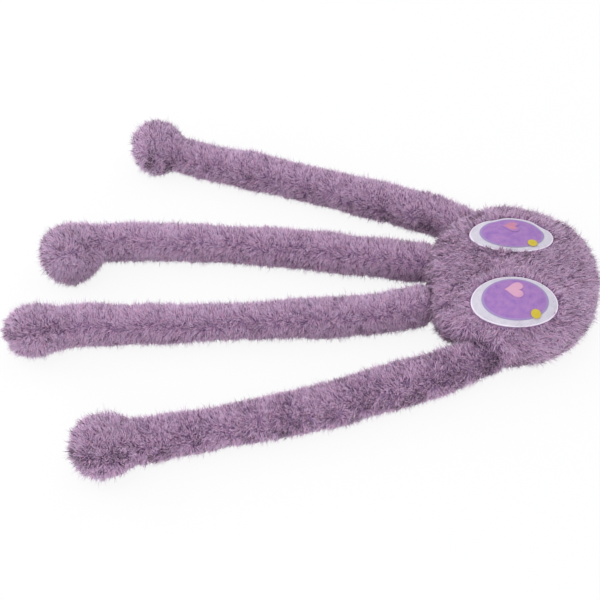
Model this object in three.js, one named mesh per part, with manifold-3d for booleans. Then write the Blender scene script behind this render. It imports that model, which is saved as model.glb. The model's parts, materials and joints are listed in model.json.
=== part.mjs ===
// Plush octopus toy with a stuffed head, two large eye patches and four long arms.
// It lies on its back with its face up. Millimetres, +Z up, +X towards the top of the head,
// origin on the floor under the middle of the head.
import * as THREE from 'three';
import { mergeVertices } from 'three/addons/utils/BufferGeometryUtils.js';
import Module from 'manifold-3d';

const wasm = await Module();
wasm.setup();

// Fits that every piece shares.
const clearance = 0.3;
const flatDepth = 0.5;
const cutSpan = 800;
const weldDistance = 0.001;

// Head: a face panel over a back panel, sewn together at a level seam.
const headHalfLength = 100;
const headHalfWidth = 114;
const seamHeight = 38;
const crownRise = 38;
const headWall = 8;
const crownFullness = 2.05;
const undersideFullness = 3.5;
const headSectors = 28;
const crownSteps = 7;
const undersideSteps = 5;

// Arms: plush tubes with rounded ends, each in a root, an upper and a lower stretch and a paw.
const armRadius = 21.5;
const armWall = 5;
const knuckleRadius = 18;
const neckRadius = 15;
const taperLength = 30;
const rootLength = 52;
const upperLength = 170;
const lowerLength = 170;
const rootSeatDepth = 4;
const socketClearance = 0.6;
const stuffingSlitRadius = 5;
const armSectors = 10;
const taperSteps = 2;
const knuckleSteps = 3;
const socketSectors = 24;

// Paws: the fuller stuffed end of each arm.
const pawRadius = 31;
const pawReach = 50;
const pawTipLength = 31;
const pawSteps = 4;

// Each arm's place on the head's edge and its headings, in degrees from the top of the head,
// as the toy lies, with its length as a share of the usual one.
const arms = [
  { name: 'right_outer_arm', edge: 122, headings: [159.5, 164.5, 166.5, 170], lengthShare: 0.94 },
  { name: 'right_inner_arm', edge: 161.5, headings: [177.5, 176.5, 183, 218], lengthShare: 1.04 },
  { name: 'left_inner_arm', edge: 194.5, headings: [198, 188, 186, 202], lengthShare: 1.08 },
  { name: 'left_outer_arm', edge: 242.5, headings: [209.5, 202, 196.5, 203], lengthShare: 0.99 },
];

// Eye patches: a white felt oval, the printed iris on it, then a heart and a round glint.
// Both eyes are the same patch, not mirrored ones. The pair sits a little to the toy's left.
const eyeShift = -3.8;
const eyeSpread = 52.6;
const eyesAside = -6;
const whiteHalfLength = 51.2;
const whiteHalfWidth = 32.7;
const whiteThickness = 1.6;
const whiteLift = 0.7;
const irisHalfLength = 39.4;
const irisHalfWidth = 27.2;
const irisShiftX = 0.4;
const irisShiftY = 1.6;
const irisThickness = 0.8;
const heartHalfLength = 10.3;
const heartHalfWidth = 10.5;
const heartLobeShares = [13 / 16, 5 / 16, 2 / 16, 1 / 16];
const heartMiddleShare = 0.16;
const heartShiftX = -1.8;
const heartShiftY = 13;
const glintRadius = 6.1;
const glintShiftX = 24.2;
const glintShiftY = -16.5;
const printThickness = 0.5;
const patchSectors = 28;
const glintSectors = 14;
const patchRings = 3;

// Colours and finishes.
const plush = new THREE.MeshStandardMaterial({ color: 0x96739b, roughness: 0.95, metalness: 0 });
const fibre = new THREE.MeshStandardMaterial({ color: 0xf1eee8, roughness: 1, metalness: 0 });
const whiteFelt = new THREE.MeshStandardMaterial({ color: 0xe2e2ec, roughness: 0.8, metalness: 0 });
const irisPrint = new THREE.MeshStandardMaterial({ color: 0xa877c8, roughness: 0.6, metalness: 0 });
const heartPrint = new THREE.MeshStandardMaterial({ color: 0xe3a0cb, roughness: 0.6, metalness: 0 });
const glintPrint = new THREE.MeshStandardMaterial({ color: 0xdcc53d, roughness: 0.6, metalness: 0 });

const toy = new THREE.Group();

const radians = THREE.MathUtils.degToRad;
const quarterTurn = Math.PI / 2;

// Turns a closed geometry into a solid that can be cut.
function solidOf(geometry) {
  const bare = geometry.clone();
  bare.deleteAttribute('normal');
  bare.deleteAttribute('uv');
  const welded = mergeVertices(bare, weldDistance);
  const corners = welded.index.array;
  const triVerts = [];
  for (let i = 0; i < corners.length; i += 3) {
    const [a, b, c] = [corners[i], corners[i + 1], corners[i + 2]];
    if (a !== b && b !== c && c !== a) triVerts.push(a, b, c);
  }
  return new wasm.Manifold(new wasm.Mesh({
    numProp: 3,
    vertProperties: new Float32Array(welded.attributes.position.array),
    triVerts: new Uint32Array(triVerts),
  }));
}

// Turns a solid back into a geometry.
function geometryOf(solid) {
  const mesh = solid.getMesh();
  const geometry = new THREE.BufferGeometry();
  geometry.setAttribute('position', new THREE.BufferAttribute(mesh.vertProperties, 3));
  geometry.setIndex(new THREE.BufferAttribute(mesh.triVerts, 1));
  return geometry;
}

// Cuts a piece flat where it rests on the floor, which lies this far below the piece's origin.
function cutAtFloor(geometry, floorDepth) {
  const floor = new THREE.BoxGeometry(cutSpan, cutSpan, cutSpan);
  floor.translate(0, 0, -floorDepth - cutSpan / 2);
  return geometryOf(solidOf(geometry).subtract(solidOf(floor)));
}

function addPiece(parent, name, geometry, material) {
  const mesh = new THREE.Mesh(geometry, material);
  mesh.name = name;
  parent.add(mesh);
}

// One quarter of the head's section, from its pole out to the seam, as distances out and up.
function headQuarter(inset, rise, fullness, steps) {
  const points = [];
  for (let i = 0; i <= steps; i += 1) {
    const turn = (i / steps) * quarterTurn;
    const out = (headHalfWidth - inset) * Math.sin(turn) ** (2 / fullness);
    const up = (rise - inset) * Math.cos(turn) ** (2 / fullness);
    points.push(new THREE.Vector2(i === 0 ? 0 : out, i === steps ? 0 : up));
  }
  return points;
}

// The crown's section stands on the seam, and the underside's section hangs from it.
function crownQuarter(inset, seamShare) {
  const level = seamHeight + seamShare * clearance;
  const points = headQuarter(inset, crownRise, crownFullness, crownSteps);
  return points.map((p) => new THREE.Vector2(p.x, level + p.y));
}

function undersideQuarter(inset, seamShare) {
  const level = seamHeight - seamShare * clearance;
  const points = headQuarter(inset, seamHeight + flatDepth, undersideFullness, undersideSteps);
  return points.map((p) => new THREE.Vector2(p.x, level - p.y));
}

// Turns a section about the head's upright axis and draws it in to the head's oval outline.
function headLathe(section) {
  const geometry = new THREE.LatheGeometry(section, headSectors);
  geometry.rotateX(quarterTurn);
  geometry.scale(headHalfLength / headHalfWidth, 1, 1);
  return geometry;
}

// Where an arm's root knuckle turns: a knuckle radius out from the head's edge, less its seat.
function rootPoint(edge) {
  const turn = radians(edge);
  const point = new THREE.Vector2(headHalfLength * Math.cos(turn), headHalfWidth * Math.sin(turn));
  const normal = new THREE.Vector2(Math.cos(turn) / headHalfLength, Math.sin(turn) / headHalfWidth);
  return point.add(normal.setLength(knuckleRadius - rootSeatDepth));
}

const armHeight = armRadius - flatDepth;

// Hollows in the head's edge that the four root knuckles sit in.
function rootSockets() {
  const sockets = arms.map((arm) => {
    const root = rootPoint(arm.edge);
    const socket = new THREE.SphereGeometry(knuckleRadius + socketClearance, socketSectors, socketSectors / 2);
    socket.translate(root.x, root.y, armHeight);
    return solidOf(socket);
  });
  return sockets.reduce((all, socket) => all.add(socket));
}

function addHead() {
  const sockets = rootSockets();
  const crown = headLathe([...crownQuarter(headWall, 0.5), ...crownQuarter(0, 0.5).reverse()]);
  const facePanel = geometryOf(solidOf(crown).subtract(sockets));
  addPiece(toy, 'head_face_panel', facePanel, plush);
  const bowl = headLathe([...undersideQuarter(0, 0.5), ...undersideQuarter(headWall, 0.5).reverse()]);
  const backPanel = geometryOf(solidOf(cutAtFloor(bowl, 0)).subtract(sockets));
  addPiece(toy, 'head_back_panel', backPanel, plush);
  const core = headWall + clearance;
  const stuffing = headLathe([...undersideQuarter(core, 0), ...crownQuarter(core, 0).reverse().slice(1)]);
  addPiece(toy, 'head_filling', stuffing, fibre);
}

// Distances out from an arm's axis and along it, for a rounded end with a knuckle in it.
function knuckleEnd(inset, length) {
  const radius = knuckleRadius - inset;
  const points = [];
  for (let i = 1; i <= knuckleSteps; i += 1) {
    const turn = (i / knuckleSteps) * quarterTurn;
    const out = i === knuckleSteps ? 0 : radius * Math.cos(turn);
    points.push(new THREE.Vector2(out, length + radius * Math.sin(turn)));
  }
  return points;
}

// The swell from one radius to another along a taper.
function taper(fromRadius, toRadius, from, reversed) {
  const points = [];
  for (let i = 0; i <= taperSteps; i += 1) {
    const along = i / taperSteps;
    const swell = Math.sin((reversed ? 1 - along : along) * quarterTurn);
    points.push(new THREE.Vector2(fromRadius + (toRadius - fromRadius) * swell, from + along * taperLength));
  }
  return points;
}

// A stretch of arm from just past one knuckle to the next, drawn in by an inset.
function stretchOutline(length, inset) {
  const start = knuckleRadius + clearance;
  return [
    ...taper(neckRadius - inset, armRadius - inset, start, false),
    ...taper(knuckleRadius - inset, armRadius - inset, length - taperLength, true),
    ...knuckleEnd(inset, length),
  ];
}

// The short root stretch, round at both ends, with a round opening to stuff it through.
function rootOutline(inset) {
  const radius = knuckleRadius - inset;
  const slitTurn = Math.asin(stuffingSlitRadius / radius);
  const points = [];
  for (let i = 0; i < knuckleSteps; i += 1) {
    const turn = slitTurn + (i / knuckleSteps) * (quarterTurn - slitTurn);
    const out = i === 0 ? stuffingSlitRadius : radius * Math.sin(turn);
    points.push(new THREE.Vector2(out, -radius * Math.cos(turn)));
  }
  points.push(new THREE.Vector2(radius, 0));
  points.push(new THREE.Vector2(armRadius - inset, rootLength / 2));
  points.push(new THREE.Vector2(radius, rootLength));
  return [...points, ...knuckleEnd(inset, rootLength)];
}

// A paw, from its neck past the last knuckle to its tip.
function pawOutline(inset) {
  const start = knuckleRadius + clearance;
  const shoulder = start + inset;
  const neck = neckRadius - inset;
  const points = inset > 0 ? [new THREE.Vector2(neck, start)] : [];
  for (let i = 0; i <= pawSteps; i += 1) {
    const turn = (i / pawSteps) * quarterTurn;
    const out = neck + (pawRadius - inset - neck) * Math.sin(turn);
    points.push(new THREE.Vector2(out, pawReach - (pawReach - shoulder) * Math.cos(turn)));
  }
  for (let i = 1; i <= pawSteps; i += 1) {
    const turn = (i / pawSteps) * quarterTurn;
    const out = i === pawSteps ? 0 : (pawRadius - inset) * Math.cos(turn);
    points.push(new THREE.Vector2(out, pawReach + (pawTipLength - inset) * Math.sin(turn)));
  }
  return points;
}

// Turns an outline about an arm's axis, which runs along +X, tips it up and cuts it at the floor.
function armLathe(outline, tilt) {
  const geometry = new THREE.LatheGeometry(outline, armSectors);
  geometry.rotateZ(-quarterTurn);
  geometry.rotateY(-tilt);
  return geometry;
}

// A plush cover, open at its near end, and the filling inside it.
function addStuffed(parent, name, cover, outlineAt, tilt) {
  const sleeve = armLathe([...outlineAt(armWall).reverse(), ...outlineAt(0)], tilt);
  addPiece(parent, `${name}_${cover}`, cutAtFloor(sleeve, armHeight), plush);
  const core = outlineAt(armWall + clearance);
  const near = new THREE.Vector2(0, core[0].y);
  addPiece(parent, `${name}_filling`, armLathe([near, ...core], tilt), fibre);
}

// A group that stands at a distance along its parent and is turned from it.
function jointAt(parent, distance, turn) {
  const joint = new THREE.Group();
  joint.position.x = distance;
  joint.rotation.z = radians(turn);
  parent.add(joint);
  return joint;
}

function addArm(arm) {
  const [rootHeading, upperHeading, lowerHeading, pawHeading] = arm.headings;
  const upper = upperLength * arm.lengthShare;
  const lower = lowerLength * arm.lengthShare;
  const at = rootPoint(arm.edge);
  const root = jointAt(toy, at.x, rootHeading);
  root.position.set(at.x, at.y, armHeight);
  addStuffed(root, `${arm.name}_root`, 'sleeve', rootOutline, 0);
  const upperJoint = jointAt(root, rootLength, upperHeading - rootHeading);
  addStuffed(upperJoint, `${arm.name}_upper`, 'sleeve', (inset) => stretchOutline(upper, inset), 0);
  const lowerJoint = jointAt(upperJoint, upper, lowerHeading - upperHeading);
  addStuffed(lowerJoint, `${arm.name}_lower`, 'sleeve', (inset) => stretchOutline(lower, inset), 0);
  const pawJoint = jointAt(lowerJoint, lower, pawHeading - lowerHeading);
  const pawTilt = Math.asin((pawRadius - armRadius) / pawReach);
  addStuffed(pawJoint, `${arm.name}_paw`, 'cover', pawOutline, pawTilt);
}

// The height of the head's face at a place on the plan.
function faceHeight(x, y) {
  const out = Math.hypot(x / headHalfLength, y / headHalfWidth);
  return seamHeight + crownRise * (1 - out ** crownFullness) ** (1 / crownFullness);
}

// A thin piece that follows the face. Its outline gives a point for each turn about its middle.
function drapedPiece(centre, outline, sectors, lift, thickness) {
  const position = [];
  const index = [];
  const layers = [lift, lift + thickness];
  const perLayer = 1 + patchRings * sectors;
  for (const layer of layers) {
    position.push(centre.x, centre.y, faceHeight(centre.x, centre.y) + layer);
    for (let ring = 1; ring <= patchRings; ring += 1) {
      for (let i = 0; i < sectors; i += 1) {
        const edge = outline((2 * Math.PI * i) / sectors).multiplyScalar(ring / patchRings);
        const [x, y] = [centre.x + edge.x, centre.y + edge.y];
        position.push(x, y, faceHeight(x, y) + layer);
      }
    }
  }
  const at = (layer, ring, i) => layer * perLayer + 1 + (ring - 1) * sectors + (i % sectors);
  for (let i = 0; i < sectors; i += 1) {
    index.push(0, at(0, 1, i + 1), at(0, 1, i));
    index.push(perLayer, at(1, 1, i), at(1, 1, i + 1));
    for (let ring = 1; ring < patchRings; ring += 1) {
      index.push(at(0, ring, i), at(0, ring, i + 1), at(0, ring + 1, i + 1));
      index.push(at(0, ring, i), at(0, ring + 1, i + 1), at(0, ring + 1, i));
      index.push(at(1, ring, i), at(1, ring + 1, i + 1), at(1, ring, i + 1));
      index.push(at(1, ring, i), at(1, ring + 1, i), at(1, ring + 1, i + 1));
    }
    index.push(at(0, patchRings, i), at(0, patchRings, i + 1), at(1, patchRings, i + 1));
    index.push(at(0, patchRings, i), at(1, patchRings, i + 1), at(1, patchRings, i));
  }
  const geometry = new THREE.BufferGeometry();
  geometry.setAttribute('position', new THREE.Float32BufferAttribute(position, 3));
  geometry.setIndex(index);
  return geometry;
}

function oval(halfLength, halfWidth) {
  return (turn) => new THREE.Vector2(halfLength * Math.cos(turn), halfWidth * Math.sin(turn));
}

// A heart with its lobes towards the top of the head, from the usual heart curve.
function heart(turn) {
  const waves = heartLobeShares.map((share, i) => share * Math.cos((i + 1) * turn));
  const along = waves[0] - waves[1] - waves[2] - waves[3];
  const across = Math.sin(turn) ** 3;
  return new THREE.Vector2(heartHalfLength * (along + heartMiddleShare), heartHalfWidth * across);
}

function addEye(side, sideSign) {
  const middle = new THREE.Vector2(eyeShift, eyesAside + sideSign * eyeSpread);
  const shifted = (x, y) => new THREE.Vector2(middle.x + x, middle.y + y);
  const irisLift = whiteLift + whiteThickness + clearance;
  const printLift = irisLift + irisThickness + clearance;
  const white = oval(whiteHalfLength, whiteHalfWidth);
  const whitePatch = drapedPiece(middle, white, patchSectors, whiteLift, whiteThickness);
  addPiece(toy, `${side}_eye_white_patch`, whitePatch, whiteFelt);
  const iris = oval(irisHalfLength, irisHalfWidth);
  const irisMiddle = shifted(irisShiftX, irisShiftY);
  const irisPatch = drapedPiece(irisMiddle, iris, patchSectors, irisLift, irisThickness);
  addPiece(toy, `${side}_eye_iris`, irisPatch, irisPrint);
  const heartMiddle = shifted(heartShiftX, heartShiftY);
  const heartPiece = drapedPiece(heartMiddle, heart, patchSectors, printLift, printThickness);
  addPiece(toy, `${side}_eye_heart`, heartPiece, heartPrint);
  const glint = oval(glintRadius, glintRadius);
  const glintMiddle = shifted(glintShiftX, glintShiftY);
  const glintPiece = drapedPiece(glintMiddle, glint, glintSectors, printLift, printThickness);
  addPiece(toy, `${side}_eye_glint`, glintPiece, glintPrint);
}

addHead();
addEye('right', 1);
addEye('left', -1);
arms.forEach(addArm);

export default toy;
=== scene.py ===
# Plush octopus toy lying on its back with its face up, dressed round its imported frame.
# Metres, +Z up, +X towards the top of the head, +Y towards the toy's right.
import json
import math

import bpy
import numpy as np
from mathutils import Matrix, Vector


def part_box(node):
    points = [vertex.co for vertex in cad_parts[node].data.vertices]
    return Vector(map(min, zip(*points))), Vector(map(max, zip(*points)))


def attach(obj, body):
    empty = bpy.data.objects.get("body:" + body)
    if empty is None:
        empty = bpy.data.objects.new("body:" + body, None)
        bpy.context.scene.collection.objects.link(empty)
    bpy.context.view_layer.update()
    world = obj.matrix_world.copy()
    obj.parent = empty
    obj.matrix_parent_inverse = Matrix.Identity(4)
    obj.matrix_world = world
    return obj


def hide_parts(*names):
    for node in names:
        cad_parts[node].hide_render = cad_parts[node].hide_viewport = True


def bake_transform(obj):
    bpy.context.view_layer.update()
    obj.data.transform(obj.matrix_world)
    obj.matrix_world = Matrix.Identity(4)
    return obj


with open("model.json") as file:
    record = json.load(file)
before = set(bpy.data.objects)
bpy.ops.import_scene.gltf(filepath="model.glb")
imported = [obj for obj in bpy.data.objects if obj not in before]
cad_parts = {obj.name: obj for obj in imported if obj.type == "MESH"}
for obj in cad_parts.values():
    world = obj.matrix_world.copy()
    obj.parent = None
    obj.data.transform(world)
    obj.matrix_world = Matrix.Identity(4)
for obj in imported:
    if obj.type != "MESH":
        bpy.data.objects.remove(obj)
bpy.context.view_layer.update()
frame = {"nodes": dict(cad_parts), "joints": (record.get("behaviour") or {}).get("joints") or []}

rng = np.random.default_rng(20)
MM = 0.001

# Real sizes in the cloth: the backing's knitted loops and their depth, and the felt's tangles of fibres,
# their height, and its thin and thick places.
KNIT_PITCH = 1.4 * MM
KNIT_DEPTH = 0.4 * MM
FELT_TANGLE = 1.2 * MM
FELT_HEIGHT = 0.3 * MM
FELT_PATCH = 8 * MM

# The photograph's viewpoint: its height and turn, the point on the floor that it looks at, and the lens.
VIEW_ELEVATION = 50.0
VIEW_AZIMUTH = 4.0
VIEW_DISTANCE = 1.5625
VIEW_AIM = (-0.2599, -0.0151, 0.0)
LENS = 75.0
SENSOR = 36.0

# Light: the world's strength, how much of the floor glows for the camera, and the softboxes, which
# face the middle of the toy: place, size and power.
WORLD_STRENGTH = 0.88
FLOOR_GLOW = 0.88
FLOOR_SPAN = 6.0
SOFTBOXES = {
    "overhead_softbox": ((-0.5, -0.5, 1.9), 1.3, 6.0),
    "front_softbox": ((-0.2, -1.7, 0.4), 1.2, 7.0),
    "paw_side_softbox": ((-1.7, 0.3, 0.6), 1.0, 8.0),
    "back_softbox": ((0.3, 1.5, 1.1), 1.2, 4.0),
}

# Head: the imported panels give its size, and these give its section, as the solid has it.
CROWN_FULLNESS = 2.05
UNDERSIDE_FULLNESS = 3.5
HEAD_AROUND = 144
HEAD_RINGS = 64
HEAD_LOOP_STEPS = (4 * MM, 3 * MM)
HEAD_INSET = 0.2 * MM
FLAT_BOTTOM = 2.2 * MM
# The smallest ring at the middle of each panel, and the band next to the seam that is shaped with it.
MIDDLE_SHARE = 0.004
RIM_START = 0.8
RIM_WIDTH = 0.2
# The stuffing leans to the toy's right at the top of the head, and there is a little slim waist: its
# depth, and its place and width as shares of the half length.
HEAD_LEAN = 9 * MM
HEAD_SLIM = 0.03
WAIST_SHARES = (0.4, 0.3)
# Where the seam puffs out between the arms: angle, push and width.
LIPS = ((215, 8 * MM, 13), (160, 3 * MM, 10))

# Arms, named from the far side to the near side of the photograph.
ARMS = ("right_outer_arm", "right_inner_arm", "left_inner_arm", "left_outer_arm")
ARM_SKIN_RADIUS = 21.9 * MM
ARM_AXIS_HEIGHT = 21 * MM
PAW_RADIUS = 31 * MM
PAW_SKIN_RADIUS = 29.8 * MM
PAW_REACH = 50 * MM
PAW_TIP_LENGTH = 31 * MM
NECK_SHARPNESS = 8
RING_STEP = 4 * MM
PATH_STEPS = 60
ARM_AROUND = 36
ARM_LOOP_STEP = 3.6 * MM
END_RADIUS = 0.6 * MM
END_TILT = 0.999
GIRTH_BLUR = 15
ARM_LUMPS = 0.05
PAW_SWELL_START = 30 * MM
PAW_SWELL_LENGTH = 20 * MM
BEND_ZONE = 20 * MM
SWING_ZONE = 12 * MM
# How deep inside the head's stuffing an arm's pile ends.
BURIED = 3 * MM

# Each arm's looks. girths: how full it is at its root, mid-upper stretch, elbow, mid-lower stretch and
# neck. paw and flank: how big its paw is, and how long the paw's flank. inside and rounded: how far its
# tube runs on inside the head, and how much of that is its rounded end. parting: at what turn in degrees
# from its top towards the near side its pile parts, how sharply, and how dark its painted shade is.
# shades: how much lighter or darker its pile is made at its root and at its paw.
ARM_LOOKS = {
    "right_outer_arm": {
        "girths": (0.96, 0.95, 0.89, 0.95, 0.84), "paw": 1.00, "flank": 30 * MM,
        "inside": 26 * MM, "rounded": 26 * MM, "parting": (80, 1.0, 0.0), "shades": (-0.3, 0.1),
    },
    "right_inner_arm": {
        "girths": (0.94, 0.94, 0.86, 0.92, 0.90), "paw": 1.03, "flank": 54 * MM,
        "inside": 16 * MM, "rounded": 16 * MM, "parting": (44, 2.5, 1.0), "shades": (-0.9, 0.9),
    },
    "left_inner_arm": {
        "girths": (0.97, 0.88, 0.80, 0.89, 0.97), "paw": 0.82, "flank": 45 * MM,
        "inside": 16 * MM, "rounded": 16 * MM, "parting": (48, 2.5, 1.0), "shades": (-0.1, -0.1),
    },
    "left_outer_arm": {
        "girths": (0.98, 1.01, 0.99, 0.84, 1.00), "paw": 1.00, "flank": 44 * MM,
        "inside": 40 * MM, "rounded": 16 * MM, "parting": (75, 1.0, 0.0), "shades": (-1.7, -0.7),
    },
}

# Stuffing: how hard it pushes a skin out, over how many steps of the cloth simulation, and how far at
# most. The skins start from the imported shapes, so they swell only a little.
STUFFING_PRESSURE = 4.0
STUFFING_FRAMES = 20
SKIN_STIFFNESS = 20.0
STUFFING_CAP = 2.5 * MM

# Pile: the real fibres are about 0.05 mm thick, too fine to show, so a strand stands for a lock of them.
STRAND_WIDTH = 1.0 * MM
STRAND_LEVELS = (0.0, 0.5, 1.0)
STRAND_TAPER = (1.0, 0.85, 0.0)
STRANDS_PER_M2 = 1.5e6
ARM_PILE = 6.6 * MM
HEAD_PILE = 7.6 * MM
ARM_PILE_LEAN = 53
HEAD_PILE_LEAN = 55
TUFT_SIZE = 2.4 * MM
TUFT_WARP = 0.6
# Large primes that number the cells in which tufts grow.
TUFT_KEYS = (73856093, 19349663, 83492791)
ROOT_DEPTH = 0.6 * MM
# How much whole tufts and single strands differ in length, width and lean, how far a tuft's strands
# gather, how a strand curls outwards and aside, and how far its ribbon turns, in radians.
TUFT_LENGTHS = (0.85, 1.1)
STRAND_LENGTHS = (0.75, 1.08)
STRAND_WIDTHS = (0.7, 1.25)
TUFT_SCATTER = 0.25
STRAND_SCATTER = 0.42
TUFT_GATHER = 0.15
CURL_OUT = 0.4
CURL_ASIDE = 0.6
STRAND_TWIST = 1.0
# The pile is thinner underneath: the share missing, and from how far underneath and over what width.
HEAD_THINNING = (0.5, 0.55)
ARM_THINNING = (0.4, 0.6)
THINNING_FADE = 0.3
# The pile under the toy is pressed between its skin and the floor, at heights that differ by this much.
PILE_FLOOR = 0.5 * MM
PRESSED_DEPTH = 1.5 * MM
PILE_CEILING = 89.5 * MM
# How much of a strand's shading comes from the skin under it, and the rest from its own side.
SKIN_SHARE = 0.7

# Fine fibres that stand out of the pile: their share, length, width, and how much more upright they stand and
# how much paler a painted highlight makes them.
WISP_SHARE = 0.2
WISP_REACH = (1.2, 1.6)
WISP_WIDTH = 0.5
WISP_RISE = 18
WISP_PAINTED_HIGHLIGHT = 0.4

# Strand tones from 0 to 1, in columns of the material's shade ramp: the middle, what a place's shade
# adds, how much whole tufts and single strands differ, and the part of a column that a strand covers.
TONE_COLUMNS = 64
TONE_MIDDLE = 0.56
TONE_PER_SHADE = 0.12
TUFT_TONES = 0.1
STRAND_TONES = 0.31
TONE_LIMITS = (0.02, 0.99)
COLUMN_EDGES = (0.12, 0.88)
TIP_V = 0.99

# What adds to a place's shade: broad, middling and fine mottling, the top of the head, and painted light on
# the paws and on an arm's own top; and what darkens it, as painted shade: creases where arms leave the head,
# where they join it, and partings.
MOTTLING = (0.5, 0.4, 0.3)
TOP_SHADE = 0.4
TOP_START = 20 * MM
TOP_FADE = 70 * MM
PAW_PAINTED_LIGHT = 0.7
ARM_TOP_PAINTED_LIGHT = 0.2
CREASE_SHADE = 1.6
JOIN_SHADE = 1.0
JOIN_WIDTH = 0.09
PARTING_SHADE = 1.4

# How much shorter or longer the pile is in a crease, in the fold, along a parting and on a paw.
CREASE_LENGTH = 0.35
FOLD_LENGTH = 0.3
PARTING_LENGTH = 0.25
PAW_LENGTH = 0.18

# Where an arm's tube leaves the head: the crease's radius and width, and how far inside the arm's root
# it starts, and over what length.
CREASE_RADIUS = 24 * MM
CREASE_WIDTH = 7 * MM
CREASE_START = 26 * MM
CREASE_FADE = 12 * MM

# The fold on the head where the near outer arm's fullness meets it, in mm, and how wide and how dark the
# painted shade in it is in the head's pile and in the arm's. Locks of the head's pile break it up.
FOLD = ((-80, -78, 40), (-68, -92, 43), (-55, -92, 50), (-38, -101, 49), (-27, -110, 43))
HEAD_FOLD_WIDTH = 9 * MM
HEAD_FOLD_SHADE = 7.5
HEAD_FOLD_BREAKS = (0.6, 0.4)
ARM_FOLD_WIDTH = 13 * MM
ARM_FOLD_SHADE = 2.0

# How the head's pile is brushed: towards its top, or towards the near arms past a line across it, and
# outwards, with drifts and swirls. It leans more or less in places, and stands up along the far rim.
TOP_BRUSH = (1.0, 0.0, 0.0)
ARMS_BRUSH = (-0.6, -0.7, 0.0)
BRUSH_LINE = 55 * MM
BRUSH_FADE = 60 * MM
OUTWARD_BRUSH = 0.7
HEAD_DRIFT = 0.6
HEAD_SWIRL = 0.45
HEAD_LEAN_CHANGE = 6
FAR_RIM = (0.97, 0.12)
FAR_RIM_FADE = 60 * MM
FAR_RIM_RISE = 18

# The pile is brushed away from the eye patches and is bare under them, in shares of the patches' sizes.
EYE_BRUSH = 1.5
EYE_BRUSH_END = 1.22
EYE_BRUSH_FADE = 0.14
EYE_BARE = 0.99
# Pile on the brow of the nose ridge stands up over the far patch's near rim: place and width across the
# rim, reach towards the middle of the patch, place and width along the head, brush and rise.
BROW_RIM = (1.05, 0.14)
BROW_REACH = 0.6
BROW_PLACE = 14 * MM
BROW_WIDTH = 26 * MM
BROW_BRUSH = 1.6
BROW_RISE = 26

# How an arm's pile is brushed: along it, less so on the paw, and away from its parting, which wanders,
# with drifts and swirls. It stands up on the paw and along the far side, and lies down at the parting.
ALONG_BRUSH = 0.3
PAW_ALONG_LOSS = 0.1
PARTING_BRUSH = 0.8
PARTING_WANDER = 0.15
PARTING_WIDTH = 0.13
PARTING_BREAKS = (0.55, 0.45)
ARM_DRIFT = 0.3
ARM_SWIRL = 0.4
ARM_LEAN_CHANGE = 5
PAW_RISE = 14
PARTING_FALL = 4
FAR_SIDE = (-55, 0.7)
FAR_SIDE_RISE = 20

# Eye patches: the counts of their meshes, the shares of their size at which rings lie in the middle and
# underneath, and the cut edge's rounding, with where it starts and its shoulder in shares of itself.
PATCH_AROUND = 96
PATCH_RINGS = 18
PATCH_MIDDLE = 0.0005
UNDERSIDE_SHARES = (0.9, 0.5, PATCH_MIDDLE)
EDGE_ROUNDING = 0.3 * MM
EDGE_START = 1.5
EDGE_SHOULDER = 0.4
HEART_SHARES = (13 / 16, 5 / 16, 2 / 16, 1 / 16)
HEART_MIDDLE = 0.16
# The hearts' ink spreads this much past their solids, along the head and across it.
HEART_SPREAD = (1.28, 1.03)
# How much of its thickness a print's edge is pressed down by, from what share of its size outwards.
PRINT_PRESSED = 0.8
PRESSED_START = 0.75
PRESSED_WIDTH = 0.25
# The far eye's outer rim dips where the pile pushes it down: place along the head, width, depth. Its
# iris dips less.
RIM_DIPS = ((-19 * MM, 9 * MM, 3.0 * MM), (38 * MM, 8 * MM, 4.5 * MM))
IRIS_DIP = 0.55


def linear(colour):
    """An sRGB hex colour as linear RGBA."""
    parts = [int(colour[i : i + 2], 16) / 255 for i in (1, 3, 5)]
    return [c / 12.92 if c <= 0.04045 else ((c + 0.055) / 1.055) ** 2.4 for c in parts] + [1.0]


def add_node(tree, kind, inputs=None, stops=None, **settings):
    """Adds a node. inputs maps a socket to a value or to the socket that feeds it, and stops are a ramp's."""
    made = tree.nodes.new(kind)
    for name, value in settings.items():
        setattr(made, name, value)
    if stops:
        elements = made.color_ramp.elements
        while len(elements) < len(stops):
            elements.new(0.5)
        for element, (place, colour) in zip(elements, stops):
            element.position = place
            element.color = linear(colour)
    for key, value in (inputs or {}).items():
        if isinstance(value, bpy.types.NodeSocket):
            tree.links.new(value, made.inputs[key])
        else:
            made.inputs[key].default_value = value
    return made


def start_material(name, roughness, sheen=0.0, specular=0.3):
    material = bpy.data.materials.new(name)
    material.use_nodes = True
    tree = material.node_tree
    shader = tree.nodes["Principled BSDF"]
    shader.inputs["Roughness"].default_value = roughness
    shader.inputs["Sheen Weight"].default_value = sheen
    shader.inputs["Sheen Roughness"].default_value = 0.5
    shader.inputs["Specular IOR Level"].default_value = specular
    return material, tree, shader


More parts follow.
